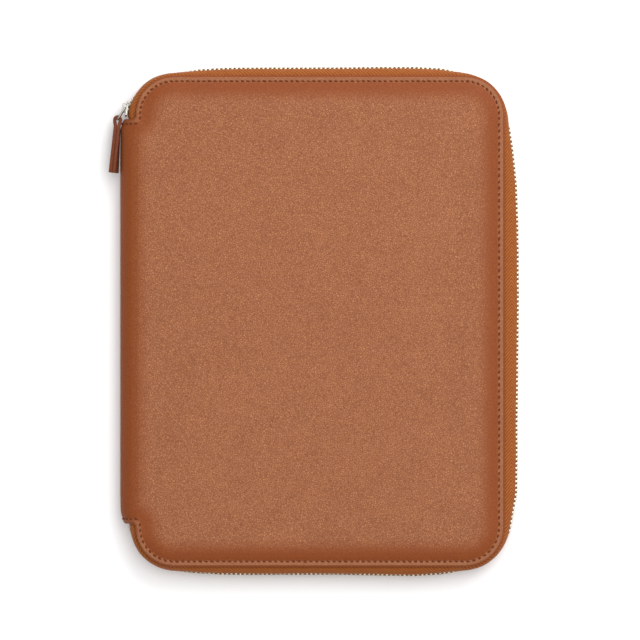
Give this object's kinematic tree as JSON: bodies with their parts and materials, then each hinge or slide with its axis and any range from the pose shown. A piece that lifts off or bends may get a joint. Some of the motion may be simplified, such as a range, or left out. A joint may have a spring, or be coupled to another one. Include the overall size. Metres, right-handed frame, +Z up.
{
  "type": "leather document case",
  "caption": "Flat zip-around leather document case for A4 papers, with padded covers, a round spine, metal teeth and a leather pull.",
  "frame": {"origin": "middle of the flat face of the back cover that the case rests on", "axes": "+Z up out of the front cover, +Y along the spine, +X from the spine towards the zip side"},
  "size_m": [0.2666, 0.3313, 0.024],
  "materials": {
    "cover_leather": "grained tan leather, satin",
    "pull_leather": "smooth dark tan leather, satin",
    "zip_tape": "herringbone woven tape, matt",
    "zip_metal": "polished nickel"
  },
  "bodies": {
    "case": {"leather_cover": "cover_leather", "zip_tape_upper": "zip_tape", "zip_tape_lower": "zip_tape", "zip_teeth_upper": "zip_metal", "zip_teeth_lower": "zip_metal", "slider": "zip_metal"},
    "pull": {"pull_ring": "zip_metal", "pull_tab": "pull_leather"}
  },
  "joints": [
    {"name": "pull_swing", "type": "hinge", "parent": "case", "child": "pull", "pos_m": [-0.12678, 0.13888, 0.012], "axis": [0, 0, 1], "range_deg": [-140, 0]}
  ]
}
